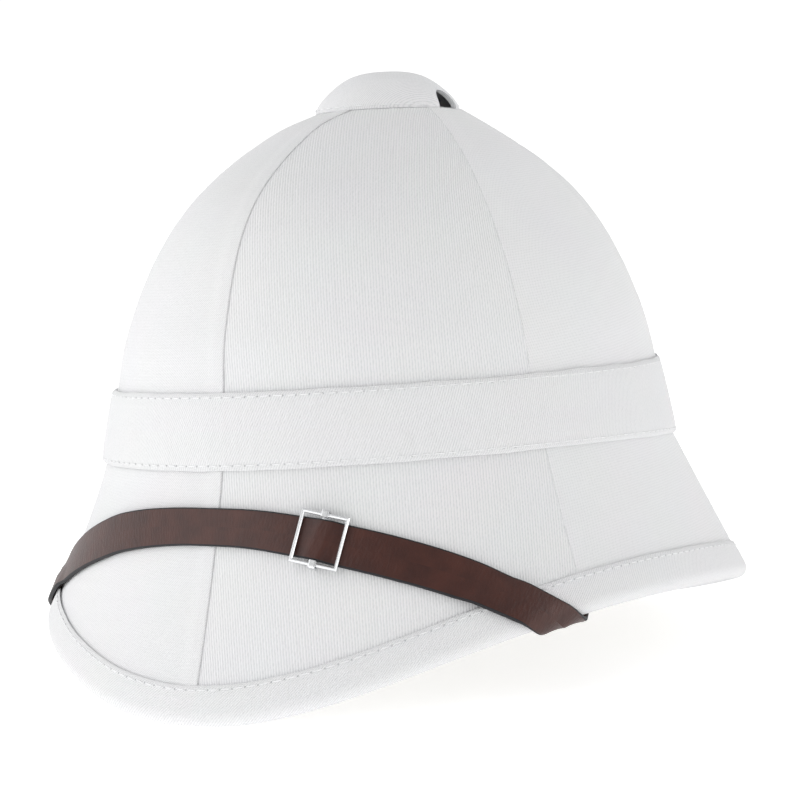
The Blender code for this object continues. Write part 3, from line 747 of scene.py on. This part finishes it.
def band_shape(u, v):
    angle = 2 * pi * v
    down, out, _ = band_section(u)
    edge = BAND_WIDTH / 2 - np.abs(down)
    outer = np.clip(out / BAND_THICKNESS, 0, 1)
    puff = BAND_PUFF * np.clip(edge / (0.3 * BAND_WIDTH), 0, 1) ** 0.7
    dent = STITCH_DENT * np.exp(-((edge - BAND_STITCH_INSET) / DENT_REACH) ** 2)
    slack = 0.25 * MM * wander(angle, 5, 7.0) + 0.12 * MM * wander(angle, 22, 9.0)
    waver = 0.25 * MM * wander(angle, 6, 11.0)
    level = 1.5 + (down + waver) / BAND_WIDTH
    return at_rest(wall_point(angle, np.clip(level, 0.98, 2.02), -(GAP + out + outer * (puff - dent + slack))))


def band_length(angle):
    """The length round the band from the front."""
    return length_round(angle, lambda around: wall_point(around, 1.5, -BAND_THICKNESS))


def band_grain(u, v):
    return band_section(u)[2] / MM, band_length(2 * pi * v) / MM


def band_edges(u, v):
    down, out, _ = band_section(u)
    far = np.where(out > 0.5 * BAND_THICKNESS, 0, 50)
    return (BAND_WIDTH / 2 - np.abs(down)) / MM + far, band_length(2 * pi * v) / MM


def add_band(twill, thread):
    made = mapped_grid(44, 420, band_shape, {"Cloth": band_grain, "Edge": band_edges})
    piece = finished("pugaree_cloth", made, [twill], ["pugaree_band"], sharp=60)
    around = float(band_length(2 * pi))
    angle = np.linspace(0, 2 * pi, 1200)
    inset = BAND_STITCH_INSET / BAND_WIDTH
    lines = [(angle, np.full(1200, 1 + inset)), (angle, np.full(1200, 2 - inset))]
    add_stitches("pugaree_stitches", stitches_at(lines, GAP + BAND_THICKNESS + SEWING_LIFT), thread)


def binding_section(u):
    """(along, out) round the folded binding's cross-section, from the top of its outer leg."""
    turns = np.linspace(0, pi, 17)
    lip = 0.5 * BINDING_THICKNESS
    middle = (FOLD_RADIUS + FOLD_CLEAR) / 2
    outline = [(-BINDING_OUTER_LEG, middle)]
    outline += [(-BINDING_OUTER_LEG + lip * (1 - np.cos(t)), middle + lip * np.sin(t)) for t in (0.5, 1.0, pi / 2)]
    outline += [(-0.66 * BINDING_OUTER_LEG, FOLD_RADIUS), (-0.33 * BINDING_OUTER_LEG, FOLD_RADIUS)]
    outline += [(FOLD_RADIUS * np.sin(t), FOLD_RADIUS * np.cos(t)) for t in turns]
    outline += [(-0.5 * BINDING_INNER_LEG, -FOLD_RADIUS)]
    outline += [(-BINDING_INNER_LEG + lip * (1 - np.cos(t)), -middle - lip * np.sin(t)) for t in (pi / 2, 1.0, 0.5)]
    outline += [(-BINDING_INNER_LEG, -middle)]
    outline += [(-BINDING_INNER_LEG + lip * (1 - np.cos(t)), -middle + lip * np.sin(t)) for t in (0.5, 1.0, pi / 2)]
    outline += [(FOLD_CLEAR * np.sin(t), FOLD_CLEAR * np.cos(t)) for t in turns[::-2]]
    outline += [(-BINDING_OUTER_LEG + lip * (1 - np.cos(t)), middle - lip * np.sin(t)) for t in (pi / 2, 1.0, 0.5)]
    return round_section(outline + [outline[0]], u)


def binding_shape(u, v):
    angle = 2 * pi * v
    along, out, at = binding_section(u)
    waver = 0.35 * MM * wander(angle, 7, 21.0) * np.clip(-along / BINDING_OUTER_LEG, 0, 1)
    outer = np.clip((out - FOLD_CLEAR) / BINDING_THICKNESS, 0, 1)
    dent = STITCH_DENT * np.exp(-((at - BINDING_STITCH_INSET) / DENT_REACH - 1) ** 2)
    pucker = 0.10 * MM * wander(angle, 40, 23.0) + 0.2 * MM * wander(angle, 9, 25.0)
    return at_rest(fold_point(angle, along + waver, out + outer * (pucker - dent)))


def rim_length(angle):
    """The length round the rim from the front."""
    row = BINDING_STITCH_INSET - BINDING_OUTER_LEG
    return length_round(angle, lambda around: fold_point(around, row, FOLD_RADIUS))


def binding_grain(u, v):
    return binding_section(u)[2] / MM, rim_length(2 * pi * v) / MM


def binding_edges(u, v):
    along, out, _ = binding_section(u)
    far = np.where(np.abs(out) > 0.5 * (FOLD_RADIUS + FOLD_CLEAR) - 0.01 * MM, 0, 50)
    from_edge = np.where(out > 0, along + BINDING_OUTER_LEG, along + BINDING_INNER_LEG)
    return from_edge / MM + far, rim_length(2 * pi * v) / MM


def add_binding(twill, thread):
    made = mapped_grid(56, 480, binding_shape, {"Cloth": binding_grain, "Edge": binding_edges})
    piece = finished("binding_cloth", made, [twill], ["brim_binding"], sharp=60)
    around = float(rim_length(2 * pi))
    angle = np.linspace(0, 2 * pi, 1400)
    normals = skin_normal(angle, level_above_rim(angle, BINDING_OUTER_LEG)) @ LEAN.T
    lift = FOLD_RADIUS + SEWING_LIFT
    outer = at_rest(fold_point(angle, BINDING_STITCH_INSET - BINDING_OUTER_LEG, lift))
    inner = at_rest(fold_point(angle, BINDING_STITCH_INSET - BINDING_INNER_LEG, -lift))
    add_stitches("binding_stitches", [(outer, normals), (inner, -normals)], thread)


def shell_shape(u, v):
    """The shell's outer face, from the vent hole down to the wall's end inside the binding."""
    angle = 2 * pi * v
    return at_rest(wall_point(angle, short_of_rim(angle, mix(-1, 3, u)), COVER_THICKNESS + GAP))


def add_shell(pith):
    made = mapped_grid(120, 240, shell_shape, {})
    piece = finished("pith_body", made, [pith], ["pith_shell"])
    facing_out(piece)
    wall = piece.modifiers.new("wall", "SOLIDIFY")
    wall.thickness = SHELL_THICKNESS
    wall.offset = -1
    wall.use_even_offset = True


def cap_profile(radius, height):
    """The cap's outline as a smooth line through its table, from the top to the foot."""
    places = np.linspace(0, len(CAP_OUTLINE) - 1, 40)
    r, h = between_rows(CAP_OUTLINE, places)
    return [(max(x, 0) * radius, y * height) for x, y in zip(r, h)]


def add_cap(twill, thread):
    base = seat_height(CAP_RADIUS - CAP_WALL) + GAP
    outer = cap_profile(CAP_RADIUS, CAP_HEIGHT)
    inner = cap_profile(CAP_RADIUS - CAP_WALL, CAP_HEIGHT - CAP_WALL)
    foot = [(CAP_RADIUS - 0.08 * CAP_WALL, -0.60 * MM), (CAP_RADIUS - 0.9 * CAP_WALL, -0.28 * MM)]
    made = turned(outer + foot + inner[::-1], 128)
    bmesh.ops.transform(made, matrix=Matrix.Translation((0, SEAT_BACK, base)), verts=made.verts)
    # The two doorways are one arched block, cut right through from side to side.
    block = bmesh.new()
    half = CAP_DOOR_WIDTH / 2
    outline = [(half * np.cos(t), CAP_DOOR_HEIGHT * np.sin(t)) for t in np.linspace(0, pi, 25)]
    outline += [(-half, -CAP_DOOR_HEIGHT), (half, -CAP_DOOR_HEIGHT)]
    reach = 1.3 * CAP_RADIUS
    face = block.faces.new([block.verts.new((-reach, SEAT_BACK + y, base + z)) for y, z in outline])
    pushed = bmesh.ops.extrude_face_region(block, geom=[face])["geom"]
    moved = [item for item in pushed if isinstance(item, bmesh.types.BMVert)]
    bmesh.ops.translate(block, vec=(2 * reach, 0, 0), verts=moved)
    bmesh.ops.recalc_face_normals(block, faces=block.faces)
    cap, doorway = put_in_scene("cap", made), put_in_scene("doorway", block)
    cut = cap.modifiers.new("doorways", "BOOLEAN")
    cut.operation = "DIFFERENCE"
    cut.solver = "EXACT"
    cut.object = doorway
    bpy.context.view_layer.update()
    opened = cap.evaluated_get(bpy.context.evaluated_depsgraph_get())
    made = bmesh.new()
    made.from_mesh(opened.to_mesh())
    opened.to_mesh_clear()
    for thing in (cap, doorway):
        bpy.data.objects.remove(thing)
    bmesh.ops.remove_doubles(made, verts=made.verts, dist=0.01 * MM)
    rims = [edge for edge in made.edges if edge.is_manifold and edge.calc_face_angle(0) > radians(40)]
    bmesh.ops.bevel(made, geom=rims, offset=CAP_EDGE, segments=3, profile=0.5, affect="EDGES", material=-1)
    bmesh.ops.transform(made, matrix=REST, verts=made.verts)
    finished("vent_cap_cloth", made, [twill], ["vent_cap"])
    # One row of sewing holds the cloth at the cap's foot, between the doorways.
    lines = []
    for middle in (-pi / 2, pi / 2):
        angle = np.linspace(middle - 1.2, middle + 1.2, 200)
        around = stack(np.cos(angle), np.sin(angle), 0 * angle)
        points = around * (CAP_RADIUS - 0.05 * MM) + np.array([0, SEAT_BACK, base + 0.9 * MM])
        lines.append((at_rest(points), around @ LEAN.T))
    add_stitches("vent_cap_stitches", lines, thread)


def add_post(fibre):
    """The fibre collar that lines the vent hole, its bridge and the post that holds the cap."""
    rim = SEAT_HEIGHT + COLLAR_HEIGHT
    flange_top = seat_height(COLLAR_FLANGE_RADIUS) - WALL - GAP
    foot = flange_top - COLLAR_FLANGE_THICKNESS
    bore = COLLAR_RADIUS - COLLAR_WALL
    top = seat_height(CAP_RADIUS - CAP_WALL) + CAP_HEIGHT - CAP_WALL
    made = turned([
        (bore, rim), (COLLAR_RADIUS, rim), (COLLAR_RADIUS, flange_top), (COLLAR_FLANGE_RADIUS, flange_top),
        (COLLAR_FLANGE_RADIUS, foot), (bore, foot), (bore, rim),
    ])
    stem = turned([(0, top), (POST_RADIUS, top), (POST_RADIUS, foot), (0, foot)], 32)
    bridge = bmesh.new()
    size = Matrix.Diagonal((BRIDGE_WIDTH, 2 * bore + COLLAR_WALL, BRIDGE_THICKNESS, 1))
    bmesh.ops.create_cube(bridge, size=1, matrix=Matrix.Translation((0, 0, foot + 1 * MM)) @ size)
    for extra in (stem, bridge):
        mesh = bpy.data.meshes.new("extra")
        extra.to_mesh(mesh)
        extra.free()
        made.from_mesh(mesh)
        bpy.data.meshes.remove(mesh)
    bmesh.ops.transform(made, matrix=REST @ Matrix.Translation((0, SEAT_BACK, 0)), verts=made.verts)
    finished("vent_collar", made, [fibre], ["vent_post"], welded=False)


def strap_point(angle, along, lift):
    """A point over the brim's wall. Along is 0 at the rim outside, and grows round it and up inside."""
    angle, along, lift = np.broadcast_arrays(*(np.asarray(value, float) for value in (angle, along, lift)))
    share = np.clip(along / RIM_ARC, 0, 1)
    reach = FOLD_RADIUS + mix(STRAP_GAP, INNER_GAP, share) + lift
    round_rim = fold_point(angle, reach * np.sin(pi * share), reach * np.cos(pi * share))
    outside = along < 0
    distance = np.maximum(np.where(outside, -along, along - RIM_ARC), 0)
    leg = np.where(outside, BINDING_OUTER_LEG, BINDING_INNER_LEG)
    over_binding = 1 - np.clip((distance - leg - BINDING_THICKNESS) / STRAP_RAMP, 0, 1)
    over_binding = over_binding**2 * (3 - 2 * over_binding)
    clear = np.where(outside, STRAP_GAP, INNER_GAP) + (BINDING_THICKNESS + GAP) * over_binding + lift
    on_wall = wall_point(angle, level_above_rim(angle, distance), np.where(outside, -clear, WALL + clear))
    return np.where(((along >= 0) & (along <= RIM_ARC))[..., None], round_rim, on_wall)


class StrapPath:
    """The strap's middle line, measured along its own length."""

    def __init__(self):
        self.rows = []
        for angle, side, share in STRAP_ROUTE:
            height = share * float(brim_length(np.array(radians(angle))))
            self.rows.append((radians(angle), -height if side == OUTSIDE else RIM_ARC + height))
        self.places = np.linspace(0, len(STRAP_ROUTE) - 1, 1500)
        self.angles, along = between_rows(self.rows, self.places)
        points = strap_point(self.angles, along, STRAP_THICKNESS / 2)
        self.lengths = running_length(points)
        self.total = float(self.lengths[-1])
        self.buckle = float(np.interp(radians(BUCKLE_ANGLE), self.angles, self.lengths))

    def spot(self, length):
        return between_rows(self.rows, np.interp(length, self.lengths, self.places))

    def across(self, length, share, lift):
        """A point at this share of the half width, to the strap's upper side."""
        step = 0.5 * MM
        angle, along = self.spot(length)
        run_angle, run_along = self.spot(length + step) - self.spot(length - step)
        middle = strap_point(angle, along, lift)
        round_hat = np.linalg.norm(strap_point(angle + 0.01, along, lift) - middle, axis=-1) / 0.01
        run = unit(np.stack([run_angle * round_hat, run_along], axis=-1))
        half = share * STRAP_WIDTH / 2
        return strap_point(angle + run[..., 1] * half / round_hat, along - run[..., 0] * half, lift)

    def weave(self, length):
        """How far the strap rises over the buckle's bar, on both sides of which it slopes down."""
        flat = BUCKLE_BAR_WIDTH / 2 + GAP
        foot = BUCKLE_LENGTH / 2 - BUCKLE_RAIL
        off = np.clip((np.abs(length - self.buckle) - flat) / (foot - flat), 0, 1)
        return (BAR_TOP + GAP) * np.cos(pi / 2 * off) ** 2

    def axes(self, length):
        """The strap's own axes there: x along it, y to its upper edge, z away from the hat."""
        at = [self.across(np.array(length + d), 0, 0) for d in (-2 * MM, 0, 2 * MM)]
        upward = self.across(np.array(length), 0.5, 0) - self.across(np.array(length), -0.5, 0)
        x = Vector(at[2] - at[0]).normalized()
        z = x.cross(Vector(upward)).normalized()
        turn = Matrix((x, z.cross(x), z)).transposed().to_4x4()
        return REST @ Matrix.Translation(Vector(at[1])) @ turn


def rounded_section(u, width, thickness, corner):
    """(across, out, place along the outline) round a flat section with rounded corners."""
    half, high = width / 2, thickness / 2
    shoulder = half - corner - 0.35 * MM
    spots = [(0.0, high), (shoulder, high)]
    for start, (cx, cy) in ((pi / 2, (1, 1)), (0.0, (1, -1)), (-pi / 2, (-1, -1)), (pi, (-1, 1))):
        for turn in np.linspace(start, start - pi / 2, 5):
            spots.append((cx * (half - corner) + corner * np.cos(turn), cy * (high - corner) + corner * np.sin(turn)))
        if (cx, cy) == (1, -1):
            spots += [(shoulder, -high), (0.0, -high), (-shoulder, -high)]
    spots = np.array(spots + [(-shoulder, high), (0.0, high)])
    places = np.linspace(0, 1, len(spots))
    across, out, at = (np.interp(u, places, values) for values in (*spots.T, running_length(spots)))
    return across, out + high, at


def add_strap(path, leather, edge):
    def section(u):
        return rounded_section(u, STRAP_WIDTH, STRAP_THICKNESS, STRAP_CORNER)

    def shape(u, v):
        across, out, _ = section(u)
        length = v * path.total
        crown = 0.10 * MM * (1 - (2 * across / STRAP_WIDTH) ** 2) * (2 * out / STRAP_THICKNESS - 1)
        return at_rest(path.across(length, 2 * across / STRAP_WIDTH, path.weave(length) + out + crown))

    def grain(u, v):
        return v * path.total / MM, section(u)[2] / MM

    def cut_edge(u, v):
        return abs(section(u)[0]) > STRAP_WIDTH / 2 - INKED_EDGE

    made = mapped_grid(29, 520, shape, {"Cloth": grain}, cut_edge)
    close_ends(made)
    finished("strap_leather", made, [leather, edge], ["chin_strap"])


def add_studs(path, steel):
    for side, length in (("right", STUD_SETBACK), ("left", path.total - STUD_SETBACK)):
        shoulder = STRAP_THICKNESS + GAP
        end = -INNER_GAP - SHELL_THICKNESS
        turns = np.linspace(0, pi / 2, 12)
        outline = [(STUD_HEAD_RADIUS * np.sin(t), shoulder + STUD_HEAD_THICKNESS * np.cos(t)) for t in turns]
        outline += [(STUD_SHANK_RADIUS, shoulder), (STUD_SHANK_RADIUS, end), (0, end)]
        made = turned(outline, 48)
        bmesh.ops.transform(made, matrix=path.axes(length), verts=made.verts)
        finished(f"strap_rivet_{side}", made, [steel], [f"strap_stud_{side}"])


def add_buckle(path, plated):
    """The plated frame round the strap, and the flat bar that the strap runs over and the rails hold."""
    seat = path.axes(path.buckle)
    bottom = STRAP_THICKNESS + GAP
    made = bmesh.new()
    size = Matrix.Diagonal((BUCKLE_LENGTH, BUCKLE_HEIGHT, BUCKLE_THICKNESS, 1))
    bmesh.ops.create_cube(made, size=1, matrix=Matrix.Translation((0, 0, bottom + BUCKLE_THICKNESS / 2)) @ size)
    for side in (1, -1):
        face = next(face for face in made.faces if face.normal.z * side > 0.9)
        bmesh.ops.inset_region(made, faces=[face], thickness=BUCKLE_RAIL)
        bmesh.ops.delete(made, geom=[face], context="FACES")
    window = [edge for edge in made.edges if edge.is_boundary]
    bmesh.ops.bridge_loops(made, edges=window)
    bmesh.ops.recalc_face_normals(made, faces=made.faces)
    top = bottom + BUCKLE_THICKNESS
    upper = [
        edge for edge in made.edges
        if all(abs(spot.co.z - top) < 0.01 * MM for spot in edge.verts) and edge.calc_face_angle(0) > 1
    ]
    bmesh.ops.bevel(made, geom=upper, offset=FRAME_BEVEL, segments=1, profile=0.5, affect="EDGES", material=-1)
    corners = [edge for edge in made.edges if edge.calc_face_angle(0) > radians(25)]
    bmesh.ops.bevel(made, geom=corners, offset=FRAME_CORNER, segments=2, profile=0.5, affect="EDGES", material=-1)
    bmesh.ops.transform(made, matrix=seat, verts=made.verts)
    finished("buckle_rails", made, [plated], ["buckle_frame"], sharp=20)

    half = BUCKLE_BAR_THICKNESS / 2
    low = BAR_TOP - half
    high = bottom + BUCKLE_THICKNESS + GAP + half
    outer = BUCKLE_HEIGHT / 2 + GAP + half
    tip = BUCKLE_HEIGHT / 2 - BUCKLE_RAIL
    side, under, over = outer - BAR_BEND, low + BAR_BEND, high - BAR_BEND
    line = [(-tip, high)]
    for cy, cz, start in ((-side, over, 90), (-side, under, 180), (side, under, 270), (side, over, 0)):
        for turn in np.radians(np.linspace(start, start + 90, 7)):
            line.append((cy + BAR_BEND * np.cos(turn), cz + BAR_BEND * np.sin(turn)))
    line = np.array(line + [(tip, high)])
    lengths = running_length(line)
    lengths = lengths / lengths[-1]

    def along_bar(place):
        return np.stack([np.interp(place, lengths, line[:, i]) for i in (0, 1)], -1)

    def shape(u, v):
        across, out, _ = rounded_section(u, BUCKLE_BAR_WIDTH, BUCKLE_BAR_THICKNESS, BAR_CORNER)
        spot = along_bar(v)
        ahead = unit(along_bar(v + 0.004) - along_bar(v - 0.004))
        off = out - half
        return stack(across, spot[:, 0] - ahead[:, 1] * off, spot[:, 1] + ahead[:, 0] * off)

    made = mapped_grid(29, 120, shape, {})
    close_ends(made)
    bmesh.ops.transform(made, matrix=seat, verts=made.verts)
    finished("buckle_tongue_bar", made, [plated], ["buckle_bar"])


def light_table():
    """A matt white table top that glows faintly, so that the shadow under the hat stays light."""
    finish, tree, shader = new_finish(
        "light_table", Roughness=0.8, Specular_IOR_Level=0.1,
        Emission_Color=linear("#ffffff"), Emission_Strength=0.52,
    )
    dress(tree, shader, two_tones(tree, speckle(tree, object_place(tree), 6.0, 2.0), "#f2f2f2", "#f5f5f5"))
    return finish


def add_table(finish):
    made = bmesh.new()
    bmesh.ops.create_circle(made, cap_ends=True, segments=96, radius=TABLE_RADIUS)
    table = put_in_scene("table", made)
    table.data.materials.append(finish)


# How bright the white studio is round the hat, low down and overhead. The broad light stands at the hat's
# right front and a second one behind its left side. Between them the room is dim, as the strap shows it.
STUDIO = (
    # degrees from the front towards the wearer's left, low, overhead
    (-157.5, 1.16, 0.52),
    (-112.5, 0.86, 0.50),
    (-67.5, 1.30, 1.30),
    (-22.5, 2.20, 1.55),
    (22.5, 0.45, 0.40),
    (67.5, 0.32, 0.32),
    (112.5, 2.60, 0.75),
    (157.5, 1.05, 0.55),
)


def add_world():
    world = bpy.data.worlds.new("studio")
    world.use_nodes = True
    tree = world.node_tree
    spot = add_node(tree, "ShaderNodeTexCoord").outputs["Generated"]
    parts = add_node(tree, "ShaderNodeSeparateXYZ", links={0: spot})
    turn = calculate(tree, "ARCTAN2", parts.outputs["X"], calculate(tree, "MULTIPLY", parts.outputs["Y"], -1))
    place = ranged(tree, turn, -pi, pi)
    rings = []
    for column in (1, 2):
        ring = add_node(tree, "ShaderNodeValToRGB", links={"Fac": place})
        ramp = ring.color_ramp
        join = (STUDIO[0][column] + STUDIO[-1][column]) / 2
        ramp.elements[0].color = ramp.elements[1].color = (join, join, join, 1)
        for row in STUDIO:
            ramp.elements.new((row[0] + 180) / 360).color = (row[column],) * 3 + (1,)
        rings.append(ring.outputs["Color"])
    height = ranged(tree, parts.outputs["Z"], 0.1, 0.75, kind="SMOOTHSTEP")
    shade = add_node(tree, "ShaderNodeMix", {"data_type": "RGBA"}, {0: height, 6: rings[0], 7: rings[1]})
    tree.links.new(shade.outputs[2], tree.nodes["Background"].inputs["Color"])
    bpy.context.scene.world = world


def add_camera():
    place = Vector((601.281, -1036.173, 187.600)) * MM
    target = Vector((3.688, 0.096, 92.581)) * MM
    camera = bpy.data.cameras.new("camera")
    camera.lens = 149.067
    camera.sensor_width = 36
    camera.clip_end = 200
    thing = bpy.data.objects.new("camera", camera)
    thing.location = place
    aim = (target - place).to_track_quat("-Z", "Y") @ Quaternion((0, 0, 1), radians(-4.138))
    thing.rotation_euler = aim.to_euler()
    bpy.context.scene.collection.objects.link(thing)
    bpy.context.scene.camera = thing


GORE_WEAVES = (
    # how coarse the rib is, its turn in degrees, its relief, the share of the crossing ribs
    (1.00, 3, 1.0, 0.12),
    (0.62, -40, 0.5, 0.35),
    (0.62, 38, 0.5, 0.35),
    (0.62, -35, 0.5, 0.35),
    (0.62, 42, 0.5, 0.35),
    (0.70, -45, 0.6, 0.15),
)

add_camera()
thread = cotton_thread()
for number, (rib, turn, relief, cross) in enumerate(GORE_WEAVES):
    Gore(number).add(white_twill(f"gore_twill_{number + 1}", rib, turn, relief, cross=cross))
add_shell(moulded_pith())
add_band(white_twill("band_twill", 0.85, -66, 1.0, needle_inset=BAND_STITCH_INSET, cross=0.1), thread)
add_binding(white_twill("binding_twill", 0.80, -45, 0.9, needle_inset=BINDING_STITCH_INSET, cross=0.1), thread)
add_cap(white_twill("cap_twill", 0.62, 30, 0.6, cloth_map=None, cross=0.1), thread)
add_post(vulcanised_fibre())
strap_path = StrapPath()
add_strap(strap_path, strap_leather(), strap_edge())
add_studs(strap_path, plain_steel())
add_buckle(strap_path, plated_steel())

add_table(light_table())
add_world()
bpy.context.scene.view_settings.view_transform = "Standard"
